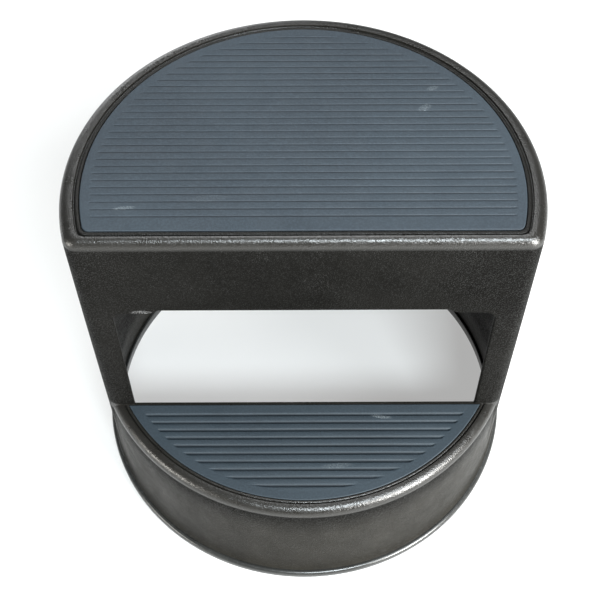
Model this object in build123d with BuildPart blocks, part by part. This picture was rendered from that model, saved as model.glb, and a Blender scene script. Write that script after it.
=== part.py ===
from build123d import *
import math
import os

# Two-tread step stool: a hollow moulded shell, two ribbed tread mats,
# a snap-on base ring and six floor pads.
# Millimetres, +Z up, floor at z = 0, low step towards -Y.

# overall sizes
base_radius = 205.0
overall_height = 378.0
step_height = 129.0
wall = 4.0
deck = 3.5
shoulder = 0.5

# upper tier: narrows a little and leans forward as it rises
side_draft = 6.5
upper_lean = 18.8
panel_floor_y = -87.0
panel_lean = 6.0
panel_corner = 13.0
upper_edge = 9.0

# lower step: its front face leans back as it rises
step_widening = 1.9
step_lean = 8.7
step_overlap = 20.0
step_tuck = 0.3
step_edge = 8.5

# hand opening and the riser below it
leg_width = 22.5
opening_top_drop = 97.0
opening_corner = 9.0
relief_height = 4.7
relief_end = 35.0
relief_corner = 3.0
riser = 2.5

# stiffening ribs under the decks
rib = 3.0
rib_depth = 22.0
upper_rib_spacing = 95.0
upper_rib_count = 3
cross_rib_spacing = 110.0
cross_rib_shift = 50.0
cross_rib_count = 2
step_rib_spacing = 80.0
step_rib_count = 3

# tread mats, their pockets, and the bead and groove around each
mat = 3.0
mat_gap = 0.3
groove = 1.7
groove_depth = 2.4
upper_rim = 11.8
upper_rim_front = 7.0
upper_bead = 3.6
step_rim = 8.6
step_bead = 2.4
mat_corner = 6.0

# ribbed field of each mat
rib_groove = 1.9
rib_groove_depth = 1.0
upper_border = 8.0
upper_front_border = 14.5
upper_pitch = 7.6
upper_groove_count = 28
step_border = 8.8
step_front_border = 11.0
step_pitch = 8.2
step_groove_count = 10

# base ring and floor pads
pad_proud = 1.5
ring_floor = 4.0
ring_bead = 5.0
ring_top = 10.0
ring_round = 3.0
ring_lip = 3.0
ring_lip_top = 12.0
flange_top = 12.0
riser_floor_gap = 14.0
pad_depth = 2.0
pad_width = 6.0
pad_arc = 16.0
pad_count = 6

# sizes that follow
flange_bottom = pad_proud + ring_floor
draft_height = overall_height - flange_top
step_draft_height = step_height - flange_top
ring_radius = base_radius + ring_bead
body_radius = base_radius - shoulder
step_base_radius = body_radius - step_tuck
upper_ceiling = overall_height - mat - deck
step_ceiling = step_height - mat - deck
top_radius = body_radius - side_draft
step_radius = step_base_radius + step_widening
span = 4 * base_radius


def upper_radius(z):
    return body_radius - side_draft * (z - flange_top) / draft_height


def upper_centre(z):
    return -upper_lean * (z - flange_top) / draft_height


def panel_y(z):
    return panel_floor_y + panel_lean * (z - flange_top) / draft_height


def low_radius(z):
    return step_base_radius + step_widening * (z - flange_top) / step_draft_height


def low_centre(z):
    return step_lean * (z - flange_top) / step_draft_height


def half_moon(z, radius, centre_y, chord_y, side, corner):
    """Circle cut by a straight chord; side +1 keeps the back, -1 the front."""
    half = math.sqrt(radius ** 2 - (chord_y - centre_y) ** 2)
    crown = (0, centre_y + side * radius)
    with BuildSketch(Plane.XY.offset(z)) as outline:
        with BuildLine():
            ThreePointArc((half, chord_y), crown, (-half, chord_y))
            Line((-half, chord_y), (half, chord_y))
        make_face()
        if corner > 0:
            fillet(outline.vertices(), corner)
    return outline.sketch


def ribbed_field(z, radius, centre_y, chord_y, side, first_y, pitch, count):
    """Parallel strips across a mat, stopped at the edge of its ribbed field."""
    middle_y = first_y + side * pitch * (count - 1) / 2
    with BuildSketch(Plane.XY.offset(z)) as strips:
        with Locations((0, middle_y)):
            with GridLocations(0, pitch, 1, count):
                Rectangle(span, rib_groove)
        half = math.sqrt(radius ** 2 - (chord_y - centre_y) ** 2)
        crown = (0, centre_y + side * radius)
        with BuildSketch(mode=Mode.INTERSECT):
            with BuildLine():
                ThreePointArc((half, chord_y), crown, (-half, chord_y))
                Line((-half, chord_y), (half, chord_y))
            make_face()
    return strips.sketch


# edges of the upper pocket, from the rim inwards
upper_groove_radius = top_radius - upper_rim
upper_groove_y = panel_y(overall_height) + upper_rim_front
upper_bead_radius = upper_groove_radius - groove
upper_bead_y = upper_groove_y + groove
upper_pocket_radius = upper_bead_radius - upper_bead
upper_pocket_y = upper_bead_y + upper_bead
upper_mat_radius = upper_pocket_radius - mat_gap
upper_mat_y = upper_pocket_y + mat_gap
upper_mat_centre = upper_centre(overall_height)

# edges of the low pocket; its straight side is flush with the panel
step_groove_radius = step_radius - step_rim
step_bead_radius = step_groove_radius - groove
step_pocket_radius = step_bead_radius - step_bead
step_mat_radius = step_pocket_radius - mat_gap
step_back_y = panel_y(step_height)
step_mat_y = step_back_y - mat_gap
step_mat_centre = low_centre(step_height)
opening_half = math.sqrt(base_radius ** 2 - panel_floor_y ** 2) - leg_width
opening_top = overall_height - opening_top_drop


# ---- solids the shell is cut from ----
with BuildPart() as low_step:
    rear_y = panel_floor_y + step_overlap
    add(half_moon(flange_top, step_base_radius, 0, rear_y, -1, 0))
    add(half_moon(step_height, step_radius, step_mat_centre, rear_y, -1, 0))
    loft(ruled=True)
    top_edges = low_step.edges().group_by(Axis.Z)[-1]
    fillet(top_edges.filter_by(GeomType.CIRCLE), step_edge)

with BuildPart() as upper_hollow:
    outline = half_moon(
        flange_top,
        body_radius - wall,
        0,
        panel_floor_y + wall,
        1,
        panel_corner - wall,
    )
    add(outline)
    outline = half_moon(
        upper_ceiling,
        upper_radius(upper_ceiling) - wall,
        upper_centre(upper_ceiling),
        panel_y(upper_ceiling) + wall,
        1,
        panel_corner - wall,
    )
    add(outline)
    loft(ruled=True)

with BuildPart() as step_hollow:
    add(half_moon(flange_top, step_base_radius - wall, 0, step_back_y, -1, 0))
    outline = half_moon(
        step_ceiling,
        low_radius(step_ceiling) - wall,
        low_centre(step_ceiling),
        step_back_y,
        -1,
        0,
    )
    add(outline)
    loft(ruled=True)

with BuildPart() as hand_opening:
    opening_mid = (step_height + opening_top) / 2
    with BuildSketch(Plane.XZ.offset(-step_back_y - step_overlap)):
        with Locations((0, opening_mid)):
            Rectangle(2 * opening_half, opening_top - step_height)
    extrude(amount=2 * step_overlap)
    top_corners = hand_opening.edges().filter_by(Axis.Y).group_by(Axis.Z)[-1]
    fillet(top_corners, opening_corner)

with BuildPart() as hand_relief:
    relief_half = opening_half - relief_end
    relief_bottom = opening_top - 2 * opening_corner
    relief_top = opening_top + relief_height
    with BuildSketch(Plane.XZ.offset(-step_back_y - step_overlap)):
        with Locations((0, (relief_bottom + relief_top) / 2)):
            Rectangle(2 * relief_half, relief_top - relief_bottom)
    extrude(amount=2 * step_overlap)
    relief_ends = hand_relief.edges().filter_by(Axis.Y).group_by(Axis.Z)[-1]
    fillet(relief_ends, relief_corner)

# ---- stiffening ribs, trimmed to the hollows ----
with BuildPart() as upper_ribs:
    with Locations((0, 0, upper_ceiling - rib_depth / 2)):
        with GridLocations(upper_rib_spacing, 0, upper_rib_count, 1):
            Box(rib, span, rib_depth)
    with Locations((0, cross_rib_shift, upper_ceiling - rib_depth / 2)):
        with GridLocations(0, cross_rib_spacing, 1, cross_rib_count):
            Box(span, rib, rib_depth)
    add(upper_hollow.part, mode=Mode.INTERSECT)

with BuildPart() as step_ribs:
    with Locations((0, 0, step_ceiling - rib_depth / 2)):
        with GridLocations(step_rib_spacing, 0, step_rib_count, 1):
            Box(rib, span, rib_depth)
    add(step_hollow.part, mode=Mode.INTERSECT)

# ---- shell ----
with BuildPart() as shell:
    add(half_moon(flange_top, body_radius, 0, panel_floor_y, 1, panel_corner))
    outline = half_moon(
        overall_height,
        top_radius,
        upper_mat_centre,
        panel_y(overall_height),
        1,
        panel_corner,
    )
    add(outline)
    loft(ruled=True)
    fillet(shell.edges().group_by(Axis.Z)[-1], upper_edge)
    # straight flange that the base ring grips
    with BuildSketch(Plane.XY.offset(flange_bottom)):
        Circle(base_radius)
    extrude(amount=flange_top - flange_bottom)
    add(low_step.part)
    # hollow underneath, open at the floor
    with BuildSketch(Plane.XY.offset(flange_bottom)):
        Circle(base_radius - wall)
    extrude(amount=riser_floor_gap - flange_bottom, mode=Mode.SUBTRACT)
    add(upper_hollow.part, mode=Mode.SUBTRACT)
    add(step_hollow.part, mode=Mode.SUBTRACT)
    # hand opening, and the riser thinned below it
    add(hand_opening.part, mode=Mode.SUBTRACT)
    add(hand_relief.part, mode=Mode.SUBTRACT)
    with Locations((0, step_back_y + riser, 0)):
        Box(
            2 * opening_half,
            step_overlap,
            step_height,
            align=(Align.CENTER, Align.MIN, Align.MIN),
            mode=Mode.SUBTRACT,
        )
    add(upper_ribs.part)
    add(step_ribs.part)
    # upper groove, bead and mat pocket
    outline = half_moon(
        overall_height,
        upper_groove_radius,
        upper_mat_centre,
        upper_groove_y,
        1,
        mat_corner + upper_bead,
    )
    add(outline)
    extrude(amount=-groove_depth, mode=Mode.SUBTRACT)
    outline = half_moon(
        overall_height,
        upper_bead_radius,
        upper_mat_centre,
        upper_bead_y,
        1,
        mat_corner + upper_bead - groove,
    )
    add(outline)
    extrude(amount=-groove_depth)
    outline = half_moon(
        overall_height,
        upper_pocket_radius,
        upper_mat_centre,
        upper_pocket_y,
        1,
        mat_corner,
    )
    add(outline)
    extrude(amount=-mat, mode=Mode.SUBTRACT)
    # low groove, bead and mat pocket
    add(half_moon(step_height, step_groove_radius, step_mat_centre, step_back_y, -1, 0))
    extrude(amount=-groove_depth, mode=Mode.SUBTRACT)
    add(half_moon(step_height, step_bead_radius, step_mat_centre, step_back_y, -1, 0))
    extrude(amount=-groove_depth)
    add(half_moon(step_height, step_pocket_radius, step_mat_centre, step_back_y, -1, 0))
    extrude(amount=-mat, mode=Mode.SUBTRACT)

# ---- upper tread mat ----
with BuildPart() as upper_tread_mat:
    outline = half_moon(
        overall_height - mat,
        upper_mat_radius,
        upper_mat_centre,
        upper_mat_y,
        1,
        mat_corner - mat_gap,
    )
    add(outline)
    extrude(amount=mat)
    outline = ribbed_field(
        overall_height,
        upper_mat_radius - upper_border,
        upper_mat_centre,
        upper_mat_y,
        1,
        upper_mat_y + upper_front_border,
        upper_pitch,
        upper_groove_count,
    )
    add(outline)
    extrude(amount=-rib_groove_depth, mode=Mode.SUBTRACT)

# ---- lower tread mat ----
with BuildPart() as lower_tread_mat:
    add(half_moon(step_height - mat, step_mat_radius, step_mat_centre, step_mat_y, -1, 0))
    extrude(amount=mat)
    outline = ribbed_field(
        step_height,
        step_mat_radius - step_border,
        step_mat_centre,
        step_mat_y,
        -1,
        step_mat_y - step_front_border,
        step_pitch,
        step_groove_count,
    )
    add(outline)
    extrude(amount=-rib_groove_depth, mode=Mode.SUBTRACT)

# ---- floor pads ----
pad_bodies = []
for index in range(pad_count):
    start = 360.0 / pad_count * (index + 0.5) - pad_arc / 2
    with BuildPart() as pad:
        with BuildSketch():
            path = CenterArc((0, 0), base_radius, start, pad_arc, mode=Mode.PRIVATE)
            SlotArc(path, pad_width)
        extrude(amount=pad_proud + pad_depth)
    pad_bodies.append(pad.part)

# ---- base ring ----
with BuildPart() as base_ring:
    with BuildSketch(Plane.XY.offset(pad_proud)):
        Circle(ring_radius)
    extrude(amount=ring_top - pad_proud)
    fillet(base_ring.edges().group_by(Axis.Z)[-1], ring_round)
    with BuildSketch(Plane.XY.offset(pad_proud)):
        Circle(base_radius - wall)
    extrude(amount=ring_lip_top - pad_proud)
    with BuildSketch(Plane.XY.offset(flange_bottom)):
        Circle(base_radius)
        Circle(base_radius - wall, mode=Mode.SUBTRACT)
    extrude(amount=ring_lip_top - flange_bottom, mode=Mode.SUBTRACT)
    with BuildSketch(Plane.XY.offset(pad_proud)):
        Circle(base_radius - wall - ring_lip)
    extrude(amount=ring_lip_top - pad_proud, mode=Mode.SUBTRACT)
    for body in pad_bodies:
        add(body, mode=Mode.SUBTRACT)

# ---- one file per piece ----
os.makedirs("parts", exist_ok=True)
shell.part.label = "shell"
export_step(shell.part, "parts/shell.step")
upper_tread_mat.part.label = "upper_tread_mat"
export_step(upper_tread_mat.part, "parts/upper_tread_mat.step")
lower_tread_mat.part.label = "lower_tread_mat"
export_step(lower_tread_mat.part, "parts/lower_tread_mat.step")
base_ring.part.label = "base_ring"
export_step(base_ring.part, "parts/base_ring.step")
for index, body in enumerate(pad_bodies):
    body.label = f"floor_pad_{index + 1}"
    export_step(body, f"parts/floor_pad_{index + 1}.step")
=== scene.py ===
# %% [markdown]
# # A moulded two-tread step stool
# The stool is one hollow plastic shell with a half-moon top deck, a low step
# in front of it and a hand opening between them. A ribbed rubber mat lies in
# each deck, a glossy base ring grips the foot, and six pads keep it from
# slipping. Everything is in metres, in the frame of the CAD model.

import math

import bmesh
import bpy
import numpy as np
from mathutils import Matrix, Vector


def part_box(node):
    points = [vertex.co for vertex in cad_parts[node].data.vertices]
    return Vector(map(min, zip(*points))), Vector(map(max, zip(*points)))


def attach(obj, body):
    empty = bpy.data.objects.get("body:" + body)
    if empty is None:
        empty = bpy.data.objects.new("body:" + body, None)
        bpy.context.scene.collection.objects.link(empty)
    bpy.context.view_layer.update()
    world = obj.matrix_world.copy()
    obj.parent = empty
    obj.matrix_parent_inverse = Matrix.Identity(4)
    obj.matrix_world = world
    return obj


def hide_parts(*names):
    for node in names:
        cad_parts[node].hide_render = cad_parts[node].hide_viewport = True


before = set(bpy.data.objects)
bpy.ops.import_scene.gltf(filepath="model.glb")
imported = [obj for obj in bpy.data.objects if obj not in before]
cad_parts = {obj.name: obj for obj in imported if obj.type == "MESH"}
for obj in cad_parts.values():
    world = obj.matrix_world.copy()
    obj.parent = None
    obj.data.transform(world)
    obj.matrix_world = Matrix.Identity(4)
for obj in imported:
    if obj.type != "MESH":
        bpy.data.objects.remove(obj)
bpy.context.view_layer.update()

# %% [markdown]
# ## Driving sizes
# Heights and outer radii are read from the CAD nodes, so the looks follow the
# model. What the CAD boxes can't tell, such as drafts and edge radii, is
# written here once.

# %% Sizes
MM = 0.001
top_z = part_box("shell")[1][2]
flange_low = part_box("shell")[0][2]
flange_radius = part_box("shell")[1][0]
ring_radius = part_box("base_ring")[1][0]
ring_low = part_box("base_ring")[0][2]
step_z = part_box("lower_tread_mat")[1][2]
mat_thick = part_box("upper_tread_mat")[1][2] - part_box("upper_tread_mat")[0][2]
wall = 4 * MM
deck = 3.5 * MM
flange_top = 12 * MM
body_radius = flange_radius - 0.5 * MM
step_foot_radius = body_radius - 0.3 * MM
side_draft = 6.5 * MM
upper_lean = 18.8 * MM
panel_foot_y = -87 * MM
panel_lean = 6 * MM
panel_corner = 13 * MM
mat_corner = 6 * MM
step_widening = 1.9 * MM
step_lean = 8.7 * MM
leg_width = 22.5 * MM
opening_top = top_z - 97 * MM
opening_half = math.sqrt(flange_radius ** 2 - panel_foot_y ** 2) - leg_width
riser = 2.5 * MM
rise = top_z - flange_top
step_rise = step_z - flange_top
print(f"stool {2 * ring_radius:.3f} m across, {top_z:.3f} m high")

# %% [markdown]
# ## Outlines
# Both decks are circles cut by the straight front panel. An outline is worked
# out for a whole stack of heights at once, so a wall is simply a stack of
# outlines, and an edge radius is a change of inset with height.


# %% Outline helpers
def half_moon(radius, centre_y, chord_y, corner, chord_count=64, corner_count=12, arc_count=220):
    """Outlines of circles cut by a chord, both corners rounded, one per radius.

    A corner's centre is at y = chord + corner and x = sqrt((radius - corner)^2
    - (y - centre)^2). Each loop runs along the chord, round the right corner,
    round the arc and round the left corner, anticlockwise."""
    values = np.broadcast_arrays(*map(np.atleast_1d, (radius, centre_y, chord_y, corner)))
    radius, centre_y, chord_y, corner = [v.astype(float)[:, None] for v in values]
    y = chord_y + corner
    x = np.sqrt((radius - corner) ** 2 - (y - centre_y) ** 2)
    meet = np.arctan2(y - centre_y, x)
    along = np.linspace(-1, 1, chord_count, endpoint=False)[None]
    turn = np.linspace(0, 1, corner_count, endpoint=False)[None]
    sweep = np.linspace(0, 1, arc_count, endpoint=False)[None]
    right = -np.pi / 2 + (meet + np.pi / 2) * turn
    arc = meet + (np.pi - 2 * meet) * sweep
    left = np.pi - meet + (meet + np.pi / 2) * turn
    xs = [x * along, x + corner * np.cos(right), radius * np.cos(arc), corner * np.cos(left) - x]
    ys = [
        chord_y + 0 * x * along,
        y + corner * np.sin(right),
        centre_y + radius * np.sin(arc),
        y + corner * np.sin(left),
    ]
    return np.stack([np.concatenate(xs, 1), np.concatenate(ys, 1)], -1)


def circles(radius, centre_y, count=360):
    """Full circles, one per radius: x = r cos(a), y = centre + r sin(a)."""
    radius, centre_y = np.broadcast_arrays(np.atleast_1d(radius), np.atleast_1d(centre_y))
    angle = np.linspace(0, 2 * np.pi, count, endpoint=False)[None]
    xs = radius[:, None] * np.cos(angle)
    ys = centre_y[:, None] + radius[:, None] * np.sin(angle)
    return np.stack([xs, ys], -1)


def stack(outlines, heights):
    """Gives each outline of a stack its height: (k, n, 2) and (k,) make (k, n, 3)."""
    z = np.broadcast_to(np.asarray(heights, float)[:, None], outlines.shape[:2])
    return np.concatenate([outlines, z[..., None]], -1)


def upper_outline(z, side_inset, front_inset, corner):
    """The upper tier's outline at heights z, moved inwards by the two insets."""
    share = (np.asarray(z, float) - flange_top) / rise
    radius = body_radius - side_draft * share - side_inset
    return half_moon(radius, -upper_lean * share, panel_y(z) + front_inset, corner)


def panel_y(z):
    """Front face of the panel: it leans back by panel_lean over the whole rise."""
    return panel_foot_y + panel_lean * (np.asarray(z, float) - flange_top) / rise


def step_circle(z, inset):
    """The low step's round outline at heights z, moved inwards by inset."""
    share = (np.asarray(z, float) - flange_top) / step_rise
    return circles(step_foot_radius + step_widening * share - inset, step_lean * share)


print("outline points", half_moon(0.2, 0, -0.08, 0.01).shape[1])

# %% [markdown]
# ## From outlines to closed meshes
# Neighbouring outlines are joined by four-sided faces. The two ends of a stack
# are closed by a fan to one middle point, so the result is a closed solid that
# can be cut and joined like real stock.


# %% Mesh helpers
def mesh_object(name, vertices, faces):
    """A new object at the origin whose faces all point outwards."""
    mesh = bpy.data.meshes.new(name)
    mesh.from_pydata(np.asarray(vertices).tolist(), [], faces)
    work = bmesh.new()
    work.from_mesh(mesh)
    bmesh.ops.remove_doubles(work, verts=work.verts, dist=1e-7)
    bmesh.ops.recalc_face_normals(work, faces=work.faces)
    work.to_mesh(mesh)
    work.free()
    obj = bpy.data.objects.new(name, mesh)
    bpy.context.scene.collection.objects.link(obj)
    return obj


def grid_faces(rows, columns, wrap_rows=False, wrap_columns=True):
    """Four-sided faces between the points of a grid, closed where it wraps."""
    i = np.arange(rows if wrap_rows else rows - 1)[:, None]
    j = np.arange(columns if wrap_columns else columns - 1)[None]
    up, across = (i + 1) % rows, (j + 1) % columns
    corners = [i * columns + j, i * columns + across, up * columns + across, up * columns + j]
    return np.stack(np.broadcast_arrays(*corners), -1).reshape(-1, 4).tolist()


def closed_stack(name, loops):
    """Closed solid from a stack of loops, each end fanned to its middle point."""
    rows, columns = loops.shape[:2]
    ends = np.stack([loops[0].mean(0), loops[-1].mean(0)])
    vertices = np.concatenate([loops.reshape(-1, 3), ends])
    j = np.arange(columns)
    last = (rows - 1) * columns
    first_fan = np.stack([0 * j + rows * columns, (j + 1) % columns, j], -1)
    last_fan = np.stack([0 * j + rows * columns + 1, last + j, last + (j + 1) % columns], -1)
    faces = grid_faces(rows, columns) + first_fan.tolist() + last_fan.tolist()
    return mesh_object(name, vertices, faces)


def rolled_section(name, section, angles):
    """Ring from a closed (radius, z) section turned through whole-circle angles."""
    radius, z = section[:, 0][None], section[:, 1][None]
    x = radius * np.cos(angles)[:, None]
    y = radius * np.sin(angles)[:, None]
    points = np.stack([x, y, z + 0 * x], -1)
    faces = grid_faces(len(angles), len(section), wrap_rows=True)
    return mesh_object(name, points.reshape(-1, 3), faces)


def block(name, low, high):
    """Plain box used only to cut with, from its lowest and highest corner."""
    share = np.array([[i, j, k] for k in (0, 1) for j in (0, 1) for i in (0, 1)])
    points = np.array(low) + share * (np.array(high) - np.array(low))
    faces = [(0, 2, 3, 1), (4, 5, 7, 6), (0, 1, 5, 4), (2, 6, 7, 3), (0, 4, 6, 2), (1, 3, 7, 5)]
    return mesh_object(name, points, faces)


def combine(target, tools, operation):
    """Joins tools to target, or cuts them from it, and throws the tools away."""
    group = bpy.data.collections.new("tools")
    bpy.context.scene.collection.children.link(group)
    for tool in tools:
        bpy.context.scene.collection.objects.unlink(tool)
        group.objects.link(tool)
    cut = target.modifiers.new("cut", "BOOLEAN")
    cut.operation = operation
    cut.solver = "MANIFOLD"
    cut.operand_type = "COLLECTION"
    cut.collection = group
    graph = bpy.context.evaluated_depsgraph_get()
    made = bpy.data.meshes.new_from_object(target.evaluated_get(graph))
    target.modifiers.clear()
    target.data = made
    for tool in tools:
        bpy.data.objects.remove(tool)
    bpy.data.collections.remove(group)
    print(f"{target.name}: {operation.lower()} of {len(tools)}, {len(made.polygons)} faces")


# %% [markdown]
# ## Rims
# Between the rounded rim and the mat, each deck has a narrow groove and then a
# low bead moulded into the shell. They could be separate rings laid on top, but
# in a moulding they are one skin, so one function gives that stretch as insets
# from the wall and drops below the deck, and it joins the stack of outlines.


# %% Rim profile
def groove_and_bead(start, groove_width, bead_width, groove_drop, bead_drop, count=9):
    """Insets and drops of a groove that goes down as sin(a)^0.5 and a bead that
    comes up as sin(a)^0.7, for a from 0 to pi, a little fuller than half ellipses."""
    groove_power, bead_power, bead_crown_drop = 0.5, 0.7, 0.3 * MM
    angle = np.linspace(0, np.pi, count)
    across = (1 - np.cos(angle)) / 2
    bead_start = start + groove_width
    inset = np.concatenate([start + groove_width * across, bead_start + bead_width * across])
    groove = groove_drop * np.sin(angle) ** groove_power
    groove[-1] = bead_drop
    bead = bead_drop - (bead_drop - bead_crown_drop) * np.sin(angle) ** bead_power
    return inset, np.concatenate([groove, bead])


flare_reach, flare_height = 2.2 * MM, 11 * MM


def foot_flare(z):
    """How far the wall curls outwards near the flange: reach (1 - sqrt(1 - 0.98 d^2)),
    where d is 0 at the top of the curl and 1 at the flange."""
    down = np.clip((flange_top + flare_height - np.asarray(z, float)) / flare_height, 0, 1)
    return flare_reach * (1 - np.sqrt(1 - 0.98 * down ** 2))


print(f"foot curls out {foot_flare(flange_top) / MM:.2f} mm")

# %% [markdown]
# ## Upper tier
# The tall tier is a drafted round wall with a flat front and a rounded rim. It
# could be an extruded circle with bevelled edges, but a bevel slips where the
# flat meets the round. A stack of outlines gives every height its own inset.

# %% Upper tier solid
edge, front_edge = 9 * MM, 6.6 * MM
front_rim_setback = 4.8 * MM
upper_plain_low = 34 * MM
round_angle = np.linspace(0, np.pi / 2, 9)[1:]
round_in, round_down = 1 - np.cos(round_angle), 1 - np.sin(round_angle)
curl_z = flange_top + flare_height * np.linspace(0, 1, 7)
wall_z = np.concatenate([curl_z, np.linspace(upper_plain_low, top_z - edge, 18)])
rim_inset, rim_drop = groove_and_bead(11.8 * MM, 1.7 * MM, 3.6 * MM, 2.4 * MM, 1.7 * MM)
front_rim = rim_inset - front_rim_setback
side_inset = np.concatenate([-foot_flare(wall_z), edge * round_in, rim_inset, rim_inset[-1:]])
front_inset = np.concatenate([0 * wall_z, front_edge * round_in, front_rim, front_rim[-1:]])
rim_z = [top_z - edge * round_down, top_z - rim_drop, [top_z - mat_thick]]
upper_z = np.concatenate([wall_z, *rim_z])
corner = np.interp(front_inset, [0, front_inset[-1]], [panel_corner, mat_corner])
upper_loops = stack(upper_outline(upper_z, side_inset, front_inset, corner), upper_z)
shell = closed_stack("moulded_shell", upper_loops)
print("upper tier", len(shell.data.polygons), "faces")

# %% [markdown]
# ## Low step
# The low step is a wider, shorter round tier that shows only in front of the
# panel. It is made whole, and its rear is cut off inside the upper tier, which
# leaves a clean overlap for the two to be joined across.

# %% Low step solid
step_edge = 8.4 * MM
step_plain_low = 30 * MM
step_overlap = 20 * MM
low_wall_z = np.concatenate([curl_z, np.linspace(step_plain_low, step_z - step_edge, 7)])
low_inset, low_drop = groove_and_bead(8.6 * MM, 1.7 * MM, 2.4 * MM, 2.4 * MM, 0.9 * MM)
low_wall_inset = -foot_flare(low_wall_z)
step_inset = np.concatenate([low_wall_inset, step_edge * round_in, low_inset, low_inset[-1:]])
low_rim_z = [step_z - step_edge * round_down, step_z - low_drop, [step_z - mat_thick]]
low_z = np.concatenate([low_wall_z, *low_rim_z])
low_step = closed_stack("low_step", stack(step_circle(low_z, step_inset), low_z))
far = 2 * ring_radius
rear = block("rear", (-far, panel_foot_y + step_overlap, -far), (far, far, far))
combine(low_step, [rear], "DIFFERENCE")

# %% [markdown]
# ## Joining and hollowing the shell
# A mould-maker thinks of this part as an outside and a core. The outside is the
# two tiers and the straight flange joined together. The core is two hollows
# open at the floor, and the hand opening is cut through the panel last. A
# Solidify modifier would be quicker, but it can't give ceilings, fillets and a
# riser of their own thickness.

# %% Outside
flange_chamfer, flange_lap = 0.5 * MM, 0.4 * MM
flange_z = np.array([flange_low, flange_low + flange_chamfer, flange_top + flange_lap])
flange_inset = np.array([flange_chamfer, 0.0, 0.0])
flange = closed_stack("flange", stack(circles(flange_radius - flange_inset, 0.0), flange_z))
combine(shell, [low_step, flange], "UNION")

# %% Core
hollow_fillet = 4 * MM
below_floor = -20 * MM
bite = 1 * MM
corner_ease, step_hollow_corner = 1 * MM, 2 * MM
foot_clear_top = flange_top + 2 * MM


def hollow_levels(ceiling_z, straight_count):
    """Heights and insets of a hollow: upright from below the floor, then a
    quarter-round fillet into the ceiling, all one wall thickness further in."""
    straight = np.linspace(flange_top, ceiling_z - hollow_fillet, straight_count)
    heights = np.concatenate([[below_floor], straight, ceiling_z - hollow_fillet * round_down])
    inset = np.concatenate([np.zeros(straight_count + 1), hollow_fillet * round_in])
    return heights, wall + inset


ceiling = top_z - mat_thick - deck
hollow_z, hollow_inset = hollow_levels(ceiling, 12)
hollow_corner = panel_corner - hollow_inset + corner_ease
hollow_loops = stack(upper_outline(hollow_z, hollow_inset, hollow_inset, hollow_corner), hollow_z)
upper_hollow = closed_stack("upper_hollow", hollow_loops)
low_ceiling = step_z - mat_thick - deck
low_hollow_z, low_hollow_inset = hollow_levels(low_ceiling, 5)
low_share = (low_hollow_z - flange_top) / step_rise
step_back_y = float(panel_y(step_z))
mirrored = half_moon(
    step_foot_radius + step_widening * low_share - low_hollow_inset,
    -step_lean * low_share,
    -step_back_y + low_hollow_inset - wall,
    step_hollow_corner,
)
step_hollow = closed_stack("step_hollow", stack(mirrored * [1, -1], low_hollow_z))
foot_circles = circles(np.full(2, flange_radius - wall), 0.0)
foot_clear = closed_stack("foot_clear", stack(foot_circles, [below_floor, foot_clear_top]))
riser_clear = block(
    "riser_clear",
    (-opening_half, step_back_y + riser, below_floor),
    (opening_half, step_back_y + step_overlap, step_z + bite),
)

# %% [markdown]
# ## Hand opening
# The opening is a doorway with a square foot, round top corners and rolled
# edges. Bevelling the edges after the cut would be fragile, so the cutter
# itself widens at both faces of the panel, and the cut leaves the edges round.

# %% Opening sizes
opening_corner = 9 * MM
relief_margin, relief_ramp, relief_height = 33 * MM, 5 * MM, 4.7 * MM


# %% Hand opening
def opening_outline(grow):
    """Rounded doorway outline for each growth: square foot, round top corners.

    The top edge rises a little between its ends, as a smooth hand relief."""
    grow = np.atleast_1d(grow)[:, None]
    radius = opening_corner + grow
    half, top = opening_half + grow, opening_top + grow
    turn = np.linspace(0, np.pi / 2, 10)[None]
    across = np.linspace(1, -1, 61)[None]
    x_top = (half - radius) * across
    ramp = np.clip((opening_half - relief_margin - np.abs(x_top)) / relief_ramp, 0, 1)
    relief = relief_height * ramp * ramp * (3 - 2 * ramp)
    round_right = half - radius + radius * np.cos(turn)
    round_left = -half + radius - radius * np.sin(turn)
    foot = step_z + 0 * half
    xs = [half, round_right, x_top, round_left, -half]
    zs = [
        foot,
        top - radius + radius * np.sin(turn),
        top + relief,
        top - radius + radius * np.cos(turn),
        foot,
    ]
    return np.stack([np.concatenate(xs, 1), np.concatenate(zs, 1)], -1)


outer_round, inner_round = 1.6 * MM, 1.0 * MM
overrun, lead_in = 15 * MM, 0.3 * MM
curl = np.linspace(0, np.pi / 2, 6)
outer_depth = outer_round * (1 - np.cos(curl))
inner_depth = wall - inner_round * (1 - np.sin(curl))
depth = np.concatenate([[-overrun, -lead_in], outer_depth, inner_depth, [wall + overrun]])
outer_grow = outer_round * (1 - np.sin(curl))
inner_grow = inner_round * (1 - np.cos(curl))
grow = np.concatenate([[outer_round] * 2, outer_grow, inner_grow, [inner_round]])
doorway = opening_outline(grow)
doorway_y = panel_y(doorway[..., 1]) + depth[:, None]
doorway_points = np.stack([doorway[..., 0], doorway_y, doorway[..., 1]], -1)
hand_opening = closed_stack("hand_opening", doorway_points)
combine(shell, [upper_hollow, step_hollow, foot_clear, riser_clear, hand_opening], "DIFFERENCE")

# %% [markdown]
# ## Stiffening ribs
# Thin upright ribs under each deck keep it from sagging. They are plain blocks
# that end in the middle of the walls, so joining them to the shell leaves no
# loose end. They can be seen only from below, so they get no rounded edges.

# %% Rib sizes
rib_depth, rib_thick = 22 * MM, 3 * MM
upper_rib_x = (-95 * MM, 0.0, 95 * MM)
cross_rib_y = (-5 * MM, 105 * MM)
step_rib_x = (-80 * MM, 0.0, 80 * MM)


# %% Ribs
def rib_along_y(name, x, low, high, y_low, y_high):
    """Thin upright rib that runs front to back and ends inside the walls."""
    return block(name, (x - rib_thick / 2, y_low, low), (x + rib_thick / 2, y_high, high))


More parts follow.
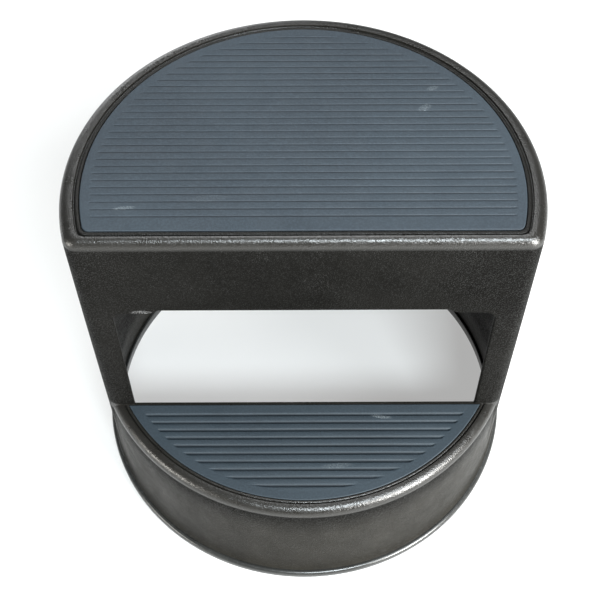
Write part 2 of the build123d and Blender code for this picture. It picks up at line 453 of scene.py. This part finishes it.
def upper_wall_circle(z):
    """Radius and centre y of the middle of the upper tier's round wall at height z."""
    share = (z - flange_top) / rise
    return body_radius - side_draft * share - wall / 2, -upper_lean * share


ribs = []
rib_low, rib_high = ceiling - rib_depth, ceiling + bite
radius, centre_y = upper_wall_circle(ceiling)
front = float(panel_y(ceiling)) + wall / 2
for index, x in enumerate(upper_rib_x):
    back = centre_y + math.sqrt(radius ** 2 - x ** 2)
    ribs.append(rib_along_y(f"rib_{index}", x, rib_low, rib_high, front, back))
for index, y in enumerate(cross_rib_y):
    half = math.sqrt(radius ** 2 - (y - centre_y) ** 2)
    low, high = (-half, y - rib_thick / 2, rib_low), (half, y + rib_thick / 2, rib_high)
    ribs.append(block(f"cross_rib_{index}", low, high))
low_rib, low_rib_high = low_ceiling - rib_depth, low_ceiling + bite
share = (low_rib - flange_top) / step_rise
radius = step_foot_radius + step_widening * share - wall / 2
for index, x in enumerate(step_rib_x):
    front = step_lean * share - math.sqrt(radius ** 2 - x ** 2)
    back = step_back_y + bite
    ribs.append(rib_along_y(f"step_rib_{index}", x, low_rib, low_rib_high, front, back))
combine(shell, ribs, "UNION")

# %% [markdown]
# ## Clean mesh for the shell
# Cutting leaves slivers and doubled points where faces met. Merging them and
# marking only the real edges as sharp lets the plastic shade smoothly.

# %% Finish the shell's mesh
merge_distance = 5e-6


def finish_mesh(obj, sharp_degrees=38):
    """Merges doubles, drops slivers and shades smooth, with real edges kept crisp."""
    work = bmesh.new()
    work.from_mesh(obj.data)
    bmesh.ops.remove_doubles(work, verts=work.verts, dist=merge_distance)
    bmesh.ops.dissolve_degenerate(work, edges=work.edges, dist=merge_distance)
    bmesh.ops.recalc_face_normals(work, faces=work.faces)
    open_edges = sum(not line.is_manifold for line in work.edges)
    work.to_mesh(obj.data)
    work.free()
    obj.data.shade_smooth()
    obj.data.set_sharp_from_angle(angle=math.radians(sharp_degrees))
    print(f"{obj.name}: {len(obj.data.polygons)} faces, {open_edges} open edges")


finish_mesh(shell)
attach(shell, "root")
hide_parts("shell")

# %% [markdown]
# ## Tread mats
# A mat is a sheet of rubber with a plain border and straight grooves across its
# field. The grooves could be bump in the rubber's material, but they catch real
# shade, so they are geometry. Rows run from the straight edge to the crown, and
# each row is a line from one side to the other. Columns crowd together near the
# sides, where the edge is rounded and the grooves fade out.


# %% Mat builder
def smooth(value):
    """Smooth step: 0 below 0, 1 above 1, 3v^2 - 2v^3 between."""
    value = np.clip(value, 0, 1)
    return value * value * (3 - 2 * value)


def mat_half_width(y, radius, corner):
    """Half the mat's width, for y = (chord, distances from the circle's centre line).

    On the arc it is sqrt(radius^2 - distance^2). Near the straight edge, below
    the point where the corner meets the arc, the corner circle rules."""
    chord, distance = y
    arc = np.sqrt(np.maximum(radius ** 2 - distance ** 2, 0))
    if corner <= 0:
        return arc
    centre = chord + corner
    centre_x = math.sqrt((radius - corner) ** 2 - centre ** 2)
    meet_y = centre + corner * centre / (radius - corner)
    near = np.clip(distance, chord, meet_y)
    round_part = centre_x + np.sqrt(np.maximum(corner ** 2 - (near - centre) ** 2, 0))
    return np.where(distance < meet_y, round_part, arc)


def tread_mat(name, radius, centre_y, chord_y, side, corner, low_z, high_z, field):
    """Closed mat body. Its top drops by a quarter round at the rim and by a
    smooth trough at each groove, and swells a little between the grooves, only
    inside the ribbed field. side is -1 where the straight edge is at the back."""
    chord = side * (chord_y - centre_y)
    edge_round, crown_rise, field_fade = 0.7 * MM, 0.12 * MM, 1.6 * MM
    plain_start, side_band = 1.5 * MM, 18 * MM
    near_edge = edge_round * (1 - np.cos(np.linspace(0, np.pi / 2, 5)))
    last = field["first"] + field["pitch"] * (field["count"] - 1)
    across = np.linspace(-1, 1, 15) * field["width"]
    groove_y = field["first"] + field["pitch"] * np.arange(field["count"])
    in_field = (groove_y[:, None] + across[None]).ravel()
    plain = np.linspace(chord + plain_start, chord + field["first_gap"], 6)
    crown = radius * np.sin(np.linspace(math.asin(min(last / radius, 0.999)), np.pi / 2, 22)[1:])
    rows = np.concatenate([chord + near_edge, plain, in_field, crown, radius - near_edge])
    rows = np.unique(np.round(rows[(rows >= chord) & (rows <= radius)], 7))
    half = np.maximum(mat_half_width((chord, rows), radius, corner), 1e-5)
    steps = np.concatenate([near_edge[:-1], np.linspace(edge_round, side_band, 22)])
    steps = np.minimum(steps[None], half[:, None] * np.linspace(0, 0.6, len(steps))[None] ** 0.8)
    middle = np.linspace(0, 1, 21)[None] * (half[:, None] - steps[:, -1:])
    right = np.concatenate([middle, half[:, None] - steps[:, -2::-1]], 1)
    x = np.concatenate([-right[:, :0:-1], right], 1)
    y = np.broadcast_to(rows[:, None], x.shape)
    reach = np.minimum(radius - np.hypot(x, y), y - chord)
    if corner > 0:
        centre = chord + corner
        centre_x = math.sqrt((radius - corner) ** 2 - centre ** 2)
        in_corner = (np.abs(x) > centre_x) & (y < centre)
        reach = np.where(in_corner, corner - np.hypot(np.abs(x) - centre_x, y - centre), reach)
    fall = np.clip(1 - reach / edge_round, 0, 1)
    drop = edge_round * (1 - np.sqrt(1 - fall ** 2))
    phase = (y - field["first"]) / field["pitch"]
    nearest = np.clip(np.round(phase), 0, field["count"] - 1)
    offset = np.abs(phase - nearest) * field["pitch"]
    trough = 1 - smooth((offset - 0.3 * field["width"]) / (0.65 * field["width"]))
    inside = smooth((radius - field["border"] - np.hypot(x, y)) / field_fade)
    crowned = crown_rise * smooth(offset / (0.5 * field["pitch"])) * inside
    height = high_z - crown_rise - drop - field["depth"] * trough * inside + crowned
    top = np.stack([x, side * y + centre_y, height], -1)
    bottom = top.copy()
    bottom[..., 2] = low_z
    row_count, column_count = x.shape
    total = row_count * column_count
    faces = np.array(grid_faces(row_count, column_count, wrap_columns=False))
    index = np.arange(total).reshape(row_count, column_count)
    rim = np.concatenate([index[0], index[1:, -1], index[-1, -2::-1], index[-2:0:-1, 0]])
    after = np.roll(rim, -1)
    skirt = np.stack([rim, rim + total, after + total, after], -1)
    faces = faces.tolist() + (faces[:, ::-1] + total).tolist() + skirt.tolist()
    mat = mesh_object(name, np.concatenate([top.reshape(-1, 3), bottom.reshape(-1, 3)]), faces)
    finish_mesh(mat, 50)
    return mat


# %% [markdown]
# ## The two treads
# The upper mat fills most of a circle and has fine, shallow grooves. The lower
# one is the slim moon left in front of the panel, with deeper and wider ones.
# Both come from one builder, so a change to the rubber's edge shows in both.

# %% Upper tread mat
upper_centre_y = -upper_lean
upper_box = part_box("upper_tread_mat")
upper_mat_radius = upper_box[1][1] - upper_centre_y
upper_mat = tread_mat(
    "upper_tread",
    upper_mat_radius,
    upper_centre_y,
    upper_box[0][1],
    1,
    mat_corner,
    upper_box[0][2],
    upper_box[1][2],
    {
        "first": upper_box[0][1] + 14.5 * MM - upper_centre_y,
        "first_gap": 13 * MM,
        "pitch": 7.6 * MM,
        "count": 28,
        "width": 1.15 * MM,
        "depth": 0.42 * MM,
        "border": 7.5 * MM,
    },
)
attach(upper_mat, "root")
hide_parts("upper_tread_mat")

# %% Lower tread mat
lower_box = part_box("lower_tread_mat")
lower_mat_radius = step_lean - lower_box[0][1]
lower_mat = tread_mat(
    "lower_tread",
    lower_mat_radius,
    step_lean,
    lower_box[1][1],
    -1,
    0.0,
    lower_box[0][2],
    lower_box[1][2],
    {
        "first": step_lean - lower_box[1][1] + 11 * MM,
        "first_gap": 9.5 * MM,
        "pitch": 8.2 * MM,
        "count": 10,
        "width": 1.9 * MM,
        "depth": 1.0 * MM,
        "border": 8.8 * MM,
    },
)
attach(lower_mat, "root")
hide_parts("lower_tread_mat")

# %% [markdown]
# ## Base ring
# The ring is a U-shaped trim pressed onto the flange. It could be a bevelled
# curve, but its slot has to fit the flange, so its section is drawn once as a
# closed loop of radius and height and turned round the foot.


# %% Base ring
def quarter(centre, radius, start, count=7):
    """Points of a quarter circle in the section: centre + r (cos a, sin a), with a
    from start degrees and anticlockwise."""
    angle = np.radians(start) + np.linspace(0, np.pi / 2, count)
    return np.stack([centre[0] + radius * np.cos(angle), centre[1] + radius * np.sin(angle)], -1)


ring_top = ring_low + 8.5 * MM
lip_top = ring_low + 10.5 * MM
inner_radius = flange_radius - wall
lip_radius = inner_radius - 3 * MM
slot_lead = 0.4 * MM
bead_round, foot_round, lip_round = 3.6 * MM, 2.0 * MM, 1.2 * MM
section = np.concatenate(
    [
        quarter((ring_radius - foot_round, ring_low + foot_round), foot_round, -90),
        quarter((ring_radius - bead_round, ring_top - bead_round), bead_round, 0),
        [[flange_radius, ring_top - slot_lead], [flange_radius, flange_low]],
        [[inner_radius, flange_low]],
        quarter((inner_radius - lip_round, lip_top - lip_round), lip_round, 0),
        quarter((lip_radius + lip_round, lip_top - lip_round), lip_round, 90),
        quarter((lip_radius + lip_round, ring_low + lip_round), lip_round, 180),
    ]
)
ring_angles = np.linspace(0, 2 * np.pi, 480, endpoint=False)
base_ring = rolled_section("base_ring_trim", section, ring_angles)

# %% [markdown]
# ## Floor pads
# Six short arcs of rubber with rounded ends sit in pockets under the ring. A
# pocket is the same arc grown by a hair, so pad and pocket can't disagree.

# %% Pad sizes
pad_half_width, pad_half_turn, pad_edge_round = 3 * MM, math.radians(8.0), 0.6 * MM
pocket_gap, pocket_low = 0.05 * MM, -5 * MM


# %% Floor pads
def arc_pad(name, middle, low, high, grow=0.0):
    """Pad that follows the ring: a curved strip with half-round ends.

    Each loop is the strip's outline at one height, and its lower edge is rounded
    by shrinking the outline."""
    curve = np.linspace(0, np.pi / 2, 5)
    shrink = np.concatenate([pad_edge_round * (1 - np.sin(curve)), [0.0]])
    heights = np.concatenate([low + pad_edge_round * (1 - np.cos(curve)), [high]])
    width = (pad_half_width + grow - shrink)[:, None]
    outer = np.linspace(-pad_half_turn, pad_half_turn, 31)[None]
    cap = np.linspace(0, np.pi, 13)[None, 1:-1]
    radius = [
        flange_radius + width + 0 * outer,
        flange_radius + width * np.cos(cap),
        flange_radius - width + 0 * outer,
        flange_radius - width * np.cos(cap),
    ]
    turn = [
        outer + 0 * width,
        pad_half_turn + width * np.sin(cap) / flange_radius,
        -outer + 0 * width,
        -pad_half_turn - width * np.sin(cap) / flange_radius,
    ]
    radius, turn = np.concatenate(radius, 1), np.concatenate(turn, 1) + middle
    outline = np.stack([radius * np.cos(turn), radius * np.sin(turn)], -1)
    return closed_stack(name, stack(outline, heights))


pad_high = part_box("floor_pad_1")[1][2]
pad_middles = np.radians(60 * (np.arange(6) + 0.5))
pockets = [
    arc_pad(f"pocket_{index}", middle, pocket_low, pad_high, pocket_gap)
    for index, middle in enumerate(pad_middles)
]
combine(base_ring, pockets, "DIFFERENCE")
finish_mesh(base_ring, 45)
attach(base_ring, "root")
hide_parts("base_ring")
pads = []
for index, middle in enumerate(pad_middles):
    pad = arc_pad(f"non_slip_pad_{index + 1}", middle, 0.0, pad_high)
    finish_mesh(pad, 45)
    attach(pad, "root")
    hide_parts(f"floor_pad_{index + 1}")
    pads.append(pad)

# %% [markdown]
# ## Finishes
# Colour, gloss and grain come from procedural nodes on Object coordinates, so
# they stay fixed to the piece. A few small helpers make the nodes, and each
# finish is then a short recipe written with them.


# %% Node helpers
def new_material(name):
    """Empty node material with its Principled shader and Object coordinates."""
    material = bpy.data.materials.new(name)
    material.use_nodes = True
    nodes = material.node_tree.nodes
    nodes.clear()
    output = nodes.new("ShaderNodeOutputMaterial")
    shader = nodes.new("ShaderNodeBsdfPrincipled")
    place = nodes.new("ShaderNodeTexCoord")
    material.node_tree.links.new(shader.outputs["BSDF"], output.inputs["Surface"])
    return material, material.node_tree, shader, place.outputs["Object"]


def noise(tree, place, scale, detail=4.0, rough=0.55, stretch=(1, 1, 1)):
    """Noise of that many features per metre, stretched along each axis."""
    mapping = tree.nodes.new("ShaderNodeMapping")
    mapping.inputs["Scale"].default_value = stretch
    texture = tree.nodes.new("ShaderNodeTexNoise")
    texture.inputs["Scale"].default_value = scale
    texture.inputs["Detail"].default_value = detail
    texture.inputs["Roughness"].default_value = rough
    tree.links.new(place, mapping.inputs["Vector"])
    tree.links.new(mapping.outputs["Vector"], texture.inputs["Vector"])
    return texture.outputs["Fac"]


def cells(tree, place, scale):
    """Distance to the nearest of many scattered points: round pebbles."""
    texture = tree.nodes.new("ShaderNodeTexVoronoi")
    texture.feature = "SMOOTH_F1"
    texture.inputs["Scale"].default_value = scale
    texture.inputs["Smoothness"].default_value = 0.35
    texture.inputs["Randomness"].default_value = 1.0
    tree.links.new(place, texture.inputs["Vector"])
    return texture.outputs["Distance"]


def remap(tree, value, low, high, to_low, to_high):
    """Linear remap with both ends held."""
    node = tree.nodes.new("ShaderNodeMapRange")
    for key, number in zip(("From Min", "From Max", "To Min", "To Max"), (low, high, to_low, to_high)):
        node.inputs[key].default_value = number
    tree.links.new(value, node.inputs["Value"])
    return node.outputs["Result"]


def mix_colour(tree, share, first, second):
    """Blend of two colours; either may be a plain tuple or another node's output."""
    node = tree.nodes.new("ShaderNodeMix")
    node.data_type = "RGBA"
    for socket, colour in ((node.inputs[6], first), (node.inputs[7], second)):
        if isinstance(colour, tuple):
            socket.default_value = (*colour, 1.0)
        else:
            tree.links.new(colour, socket)
    tree.links.new(share, node.inputs[0])
    return node.outputs[2]


def combine_values(tree, operation, first, second):
    """One Math node; the second input may be a number."""
    node = tree.nodes.new("ShaderNodeMath")
    node.operation = operation
    tree.links.new(first, node.inputs[0])
    if isinstance(second, float):
        node.inputs[1].default_value = second
    else:
        tree.links.new(second, node.inputs[1])
    return node.outputs[0]


def bump(tree, height, distance, strength):
    """Bump whose height input, from 0 to 1, stands for that distance in metres."""
    node = tree.nodes.new("ShaderNodeBump")
    node.inputs["Strength"].default_value = strength
    node.inputs["Distance"].default_value = distance
    tree.links.new(height, node.inputs["Height"])
    return node.outputs["Normal"]


def scuff(tree, place, centre, size, turn=0.0):
    """Mask of a small rubbed patch: an ellipse with a soft edge, broken up by noise."""
    soft_edge = 0.35
    mapping = tree.nodes.new("ShaderNodeMapping")
    mapping.vector_type = "TEXTURE"
    mapping.inputs["Location"].default_value = centre
    mapping.inputs["Rotation"].default_value = (0, 0, math.radians(turn))
    mapping.inputs["Scale"].default_value = size
    tree.links.new(place, mapping.inputs["Vector"])
    length = tree.nodes.new("ShaderNodeVectorMath")
    length.operation = "LENGTH"
    tree.links.new(mapping.outputs["Vector"], length.inputs[0])
    body = remap(tree, length.outputs["Value"], 1 - soft_edge, 1.0, 1.0, 0.0)
    ragged = remap(tree, noise(tree, place, 900, 3.0, 0.7), 0.45, 0.62, 0.0, 1.0)
    return combine_values(tree, "MULTIPLY", body, ragged)


# %% [markdown]
# ## Shell plastic
# The shell is near-black plastic with a fine pebbled mould grain that breaks
# its highlights into glints. The grain could be geometry, but pebbles of a
# millimetre are what bump is for; its lighter colour is painted highlight.
# Hands and shoes polish the rims. Low on the skirt, and higher in front, the
# plastic is greyer and browner: partly dust, partly painted reflection of the
# pale floor. Masks made from height and distance say where.

# %% Shell plastic
def band(tree, z, low, high, fade):
    """1 between two heights and 0 outside them, with soft ends."""
    above = remap(tree, z, low - fade, low, 0.0, 1.0)
    return combine_values(tree, "MULTIPLY", above, remap(tree, z, high, high + fade, 1.0, 0.0))


def shell_plastic():
    """Near-black plastic with a pebbled mould grain, greyer round its skirt.

    The rims are smoother than the rest. Below the low step the plastic is greyer
    and browner, partly from dusty patches and partly as painted reflection of
    the pale floor, and the band reaches less high towards the back."""
    dark_plastic, light_plastic = (0.0030, 0.0029, 0.0026), (0.0055, 0.0053, 0.0048)
    grain_highlight_colour, dust_and_sheen_colour = (0.018, 0.018, 0.017), (0.0122, 0.0112, 0.0090)
    rim_colour, speck_colour = (0.0085, 0.0079, 0.0067), (0.10, 0.10, 0.098)
    rubbed_colour = (0.11, 0.11, 0.11)
    rim_polish, rim_specular, dust_and_sheen_specular = 0.12, 0.52, 0.07
    front_dust_and_sheen_height, back_dust_and_sheen_height = 0.116, 0.050
    material, tree, shader, place = new_material("grained_black_plastic")
    axes = tree.nodes.new("ShaderNodeSeparateXYZ")
    tree.links.new(place, axes.inputs["Vector"])
    z = axes.outputs["Z"]
    upper_rim = remap(tree, z, top_z - 11 * MM, top_z - 7 * MM, 0.0, 1.0)
    centred = tree.nodes.new("ShaderNodeVectorMath")
    centred.inputs[1].default_value = (0, upper_lean, -top_z)
    tree.links.new(place, centred.inputs[0])
    from_middle = tree.nodes.new("ShaderNodeVectorMath")
    from_middle.operation = "LENGTH"
    tree.links.new(centred.outputs["Vector"], from_middle.inputs[0])
    rim_inside = body_radius - side_draft - 12.5 * MM
    in_bed = remap(tree, from_middle.outputs["Value"], rim_inside - 1 * MM, rim_inside, 1.0, 0.0)
    bed_front = float(panel_y(top_z)) + 7.6 * MM
    behind = remap(tree, axes.outputs["Y"], bed_front, bed_front + 1 * MM, 0.0, 1.0)
    shaded = remap(tree, combine_values(tree, "MULTIPLY", in_bed, behind), 0.0, 1.0, 1.0, 0.25)
    upper_rim = combine_values(tree, "MULTIPLY", upper_rim, shaded)
    in_front = remap(tree, axes.outputs["Y"], -86 * MM, -80 * MM, 1.0, 0.0)
    low_rim = band(tree, z, step_z - 8 * MM, step_z, 2 * MM)
    low_rim = combine_values(tree, "MULTIPLY", low_rim, in_front)
    rims = combine_values(tree, "ADD", upper_rim, low_rim)
    cloud = remap(tree, noise(tree, place, 9, 5.0, 0.6), 0.35, 0.65, 0.0, 1.0)
    fine = noise(tree, place, 680, 3.0, 0.6)
    base = mix_colour(tree, cloud, dark_plastic, light_plastic)
    # Painted highlight: the grain is lighter where the fine noise runs high.
    base = mix_colour(tree, remap(tree, fine, 0.5, 0.8, 0.0, 0.5), base, grain_highlight_colour)
    # Greyer, browner band low on the skirt, higher in front: partly dust, partly painted reflection of
    # the pale floor; it also raises the specular level.
    dust_and_sheen_patches = remap(tree, noise(tree, place, 26, 5.0, 0.65, (1, 1, 0.5)), 0.3, 0.7, 0.55, 1.0)
    dust_and_sheen_top = remap(tree, axes.outputs["Y"], -90 * MM, 0.0, front_dust_and_sheen_height, back_dust_and_sheen_height)
    height = combine_values(tree, "DIVIDE", z, dust_and_sheen_top)
    skirt = combine_values(tree, "MULTIPLY", remap(tree, height, 0.72, 1.0, 1.0, 0.0), dust_and_sheen_patches)
    base = mix_colour(tree, skirt, base, dust_and_sheen_colour)
    base = mix_colour(tree, rims, base, rim_colour)
    specks = remap(tree, noise(tree, place, 1300, 1.0, 0.5), 0.68, 0.74, 0.0, 1.0)
    patches = remap(tree, noise(tree, place, 30, 3.0, 0.6), 0.45, 0.7, 0.0, 0.7)
    specks = combine_values(tree, "MULTIPLY", specks, patches)
    base = mix_colour(tree, specks, base, speck_colour)
    rubbed = scuff(tree, place, (-0.138, -0.083, 0.2840), (0.010, 0.02, 0.0030))
    base = mix_colour(tree, rubbed, base, rubbed_colour)
    tree.links.new(base, shader.inputs["Base Color"])
    rough = remap(tree, noise(tree, place, 55, 4.0, 0.65), 0.3, 0.7, 0.36, 0.48)
    polish = combine_values(tree, "MULTIPLY", rims, rim_polish)
    tree.links.new(combine_values(tree, "SUBTRACT", rough, polish), shader.inputs["Roughness"])
    pebbles = remap(tree, cells(tree, place, 780), 0.1, 0.7, 1.0, 0.0)
    grain = combine_values(tree, "MULTIPLY", pebbles, remap(tree, fine, 0.3, 0.7, 0.5, 1.0))
    depth = combine_values(tree, "MULTIPLY", grain, remap(tree, rims, 0.0, 1.0, 1.0, 0.48))
    tree.links.new(bump(tree, depth, 0.36 * MM, 0.9), shader.inputs["Normal"])
    level = combine_values(tree, "MULTIPLY", rims, rim_specular)
    level = combine_values(tree, "ADD", level, remap(tree, grain, 0.25, 0.8, 0.01, 0.11))
    dust_and_sheen_level = combine_values(tree, "MULTIPLY", skirt, dust_and_sheen_specular)
    level = combine_values(tree, "ADD", level, dust_and_sheen_level)
    tree.links.new(level, shader.inputs["Specular IOR Level"])
    shader.inputs["IOR"].default_value = 1.49
    return material


# %% [markdown]
# ## Mat rubber
# The mats are dusty blue-grey rubber with pale scuffs from shoes, and painted
# shade darkens them down in their grooves. Height alone tells groove from
# crest, so the painted groove shade follows the real geometry and needs no
# stripes of its own.

# %% Mat rubber
def mat_rubber(name, dark, light, groove, top, depth, scuffs):
    """Dusty blue-grey rubber with painted shade in its grooves and a fine toothed skin.

    top is the height of the mat's crests and depth the depth of its grooves;
    groove is the colour of that painted shade."""
    scuff_colour = (0.15, 0.17, 0.18)
    pale_tooth = tuple(1.5 * c for c in light)
    material, tree, shader, place = new_material(name)
    cloud = noise(tree, place, 7, 6.0, 0.62)
    base = mix_colour(tree, remap(tree, cloud, 0.32, 0.68, 0.0, 1.0), dark, light)
    tooth = noise(tree, place, 620, 3.0, 0.65)
    base = mix_colour(tree, remap(tree, tooth, 0.42, 0.72, 0.0, 0.75), base, pale_tooth)
    axes = tree.nodes.new("ShaderNodeSeparateXYZ")
    tree.links.new(place, axes.inputs["Vector"])
    # Painted shade: the colour darkens towards the groove floors, more in some patches.
    low = remap(tree, axes.outputs["Z"], top - depth, top - 0.25 * depth, 1.0, 0.0)
    groove_shade_patches = remap(tree, noise(tree, place, 13, 4.0, 0.6, (0.5, 1, 1)), 0.36, 0.62, 0.35, 1.0)
    low = combine_values(tree, "MULTIPLY", low, groove_shade_patches)
    base = mix_colour(tree, low, base, groove)
    for centre, size, turn, strength in scuffs:
        mask = combine_values(tree, "MULTIPLY", scuff(tree, place, centre, size, turn), strength)
        base = mix_colour(tree, mask, base, scuff_colour)
    tree.links.new(base, shader.inputs["Base Color"])
    rough = remap(tree, noise(tree, place, 40, 4.0, 0.6), 0.3, 0.7, 0.58, 0.72)
    tree.links.new(rough, shader.inputs["Roughness"])
    tree.links.new(bump(tree, tooth, 0.10 * MM, 0.5), shader.inputs["Normal"])
    shader.inputs["Specular IOR Level"].default_value = 0.30
    return material


# %% [markdown]
# ## Trim and pad rubber
# The ring is smoother and shinier than the shell, with faint rubbed marks. The
# pads are matt and grubby, and mostly out of sight.

# %% Smooth trim and pad rubber
def smooth_trim():
    """Semi-gloss dark trim with a faint cloudy colour and rubbed marks."""
    dark_trim, light_trim = (0.013, 0.0135, 0.013), (0.023, 0.0235, 0.0225)
    material, tree, shader, place = new_material("smooth_base_trim")
    cloud = noise(tree, place, 14, 4.0, 0.6)
    base = mix_colour(tree, remap(tree, cloud, 0.35, 0.65, 0.0, 1.0), dark_trim, light_trim)
    tree.links.new(base, shader.inputs["Base Color"])
    rub = noise(tree, place, 160, 5.0, 0.7, (1, 1, 6))
    tree.links.new(remap(tree, rub, 0.35, 0.7, 0.18, 0.34), shader.inputs["Roughness"])
    tree.links.new(bump(tree, rub, 0.05 * MM, 0.4), shader.inputs["Normal"])
    return material


def pad_rubber():
    """Matt black rubber with a grubby, toothed skin."""
    material, tree, shader, place = new_material("black_pad_rubber")
    grime = remap(tree, noise(tree, place, 120, 5.0, 0.65), 0.35, 0.7, 0.0, 1.0)
    base = mix_colour(tree, grime, (0.012, 0.012, 0.012), (0.045, 0.043, 0.040))
    tree.links.new(base, shader.inputs["Base Color"])
    tree.links.new(remap(tree, grime, 0.0, 1.0, 0.7, 0.9), shader.inputs["Roughness"])
    skin = noise(tree, place, 1400, 3.0, 0.6)
    tree.links.new(bump(tree, skin, 0.08 * MM, 0.6), shader.inputs["Normal"])
    return material


# %% [markdown]
# ## Dressing the pieces
# Each scuff is a place, a size, a turn in degrees and a strength. They are
# listed one by one, because wear on a real stool is where feet happened to land.

# %% Give each piece its finish
def wear(obj, material):
    """Puts one material on a piece, in place of any it had."""
    obj.data.materials.clear()
    obj.data.materials.append(material)


upper_scuffs = [
    ((0.104, 0.064, top_z), (0.007, 0.004, 0.02), 30, 0.5),
    ((0.112, 0.087, top_z), (0.006, 0.003, 0.02), 20, 0.4),
    ((-0.075, -0.035, top_z), (0.02, 0.004, 0.02), 5, 0.12),
    ((-0.143, -0.045, top_z), (0.010, 0.0018, 0.02), 4, 0.6),
]
lower_scuffs = [
    ((0.073, -0.0985, step_z), (0.011, 0.0025, 0.02), -8, 0.9),
    ((0.03, -0.150, step_z), (0.016, 0.003, 0.02), 4, 0.3),
]
wear(shell, shell_plastic())
# The upper mat's colours are lighter than the lower mat's: partly dust, partly painted reflection. The
# lower grooves' colour is darker still, as painted shade.
wear(
    upper_mat,
    mat_rubber(
        "upper_mat_rubber",
        (0.0135, 0.0192, 0.0252),
        (0.0195, 0.0275, 0.0350),
        (0.0085, 0.0126, 0.0170),
        top_z,
        0.5 * MM,
        upper_scuffs,
    ),
)
wear(
    lower_mat,
    mat_rubber(
        "lower_mat_rubber",
        (0.0115, 0.0172, 0.0225),
        (0.0170, 0.0248, 0.0315),
        (0.0050, 0.0085, 0.0120),
        step_z,
        1.1 * MM,
        lower_scuffs,
    ),
)
wear(base_ring, smooth_trim())
pad_material = pad_rubber()
for pad in pads:
    wear(pad, pad_material)
print(len(upper_scuffs) + len(lower_scuffs), "scuffs on the mats")

# %% [markdown]
# ## Studio
# A pale floor with a glow of its own stands in for a light table, so it stays
# pale even inside the hollow. Six soft lights stand round it: three strong ones
# in front and to the right, and weaker ones low on the left, overhead and
# behind. The low one on the right is the strongest.


# %% Floor
def pale_floor():
    """Wide matt floor with a faint mottle and a little glow."""
    material, tree, shader, place = new_material("pale_floor")
    mottle = remap(tree, noise(tree, place, 3, 4.0, 0.5), 0.3, 0.7, 0.0, 1.0)
    base = mix_colour(tree, mottle, (0.37, 0.37, 0.365), (0.40, 0.40, 0.395))
    tree.links.new(base, shader.inputs["Base Color"])
    shader.inputs["Roughness"].default_value = 0.8
    shader.inputs["Emission Color"].default_value = (1.0, 1.0, 0.99, 1.0)
    shader.inputs["Emission Strength"].default_value = 0.42
    return material


floor_half = 12.0
floor_mesh = bpy.data.meshes.new("studio_floor")
floor_corners = [(floor_half * i, floor_half * j, 0) for i, j in ((-1, -1), (1, -1), (1, 1), (-1, 1))]
floor_mesh.from_pydata(floor_corners, [], [(0, 1, 2, 3)])
floor = bpy.data.objects.new("studio_floor", floor_mesh)
bpy.context.scene.collection.objects.link(floor)
wear(floor, pale_floor())


# %% Lights
def soft_light(name, place, aim, size, power, colour):
    """Rectangular area light at place, turned to face aim."""
    data = bpy.data.lights.new(name, "AREA")
    data.shape = "RECTANGLE"
    data.size, data.size_y = size
    data.energy = power
    data.color = colour
    lamp = bpy.data.objects.new(name, data)
    bpy.context.scene.collection.objects.link(lamp)
    lamp.location = place
    lamp.rotation_euler = (Vector(aim) - Vector(place)).to_track_quat("-Z", "Y").to_euler()


soft_light("window", (1.5, -1.0, 1.9), (0, 0, 0.2), (0.9, 0.9), 44, (0.93, 0.97, 1.0))
soft_light("front_key", (0.42, -1.6, 2.1), (0, -0.1, 0.3), (0.8, 0.5), 86, (0.88, 0.96, 1.0))
soft_light("low_right", (1.25, -1.25, 0.75), (0.1, -0.1, 0.1), (0.7, 0.5), 104, (1.0, 0.99, 0.96))
soft_light("low_left", (-1.7, -1.0, 0.45), (-0.1, -0.1, 0.08), (0.9, 0.4), 22, (1.0, 0.97, 0.90))
soft_light("overhead", (0.1, 0.9, 2.4), (0, 0, 0.2), (1.6, 1.2), 38, (0.97, 0.99, 1.0))
soft_light("back_fill", (-0.9, 2.4, 0.9), (0, 0, 0.2), (1.6, 1.0), 20, (0.97, 0.99, 1.0))
world = bpy.data.worlds.new("studio")
bpy.context.scene.world = world
world.use_nodes = True
sky = world.node_tree.nodes["Background"]
sky.inputs["Color"].default_value = (0.95, 0.97, 1.0, 1.0)
sky.inputs["Strength"].default_value = 0.22
bpy.context.scene.view_settings.view_transform = "Standard"

# %% [markdown]
# ## Camera
# The camera stands straight in front and looks steeply down on both treads. It
# is placed by its tilt, turn and distance from a target inside the stool, so
# each of them can be changed without the others.

# %% Camera
tilt = math.radians(55.5)
turn = -0.0027
roll = -0.0061
distance = 1.0745
target = Vector((0, 0, 0.18))
forward = Vector((math.sin(turn) * math.cos(tilt), math.cos(turn) * math.cos(tilt), -math.sin(tilt)))
right = forward.cross(Vector((0, 0, 1))).normalized()
up = right.cross(forward)
rolled_right = math.cos(roll) * right + math.sin(roll) * up
rolled_up = math.cos(roll) * up - math.sin(roll) * right
lens_data = bpy.data.cameras.new("camera")
lens_data.sensor_width = 36.0
lens_data.lens = 66.7
lens_data.shift_x = -0.0067
lens_data.shift_y = 0.0020
camera = bpy.data.objects.new("camera", lens_data)
bpy.context.scene.collection.objects.link(camera)
axes = Matrix((rolled_right, rolled_up, -forward)).transposed()
camera.matrix_world = Matrix.Translation(target - distance * forward) @ axes.to_4x4()
bpy.context.scene.camera = camera
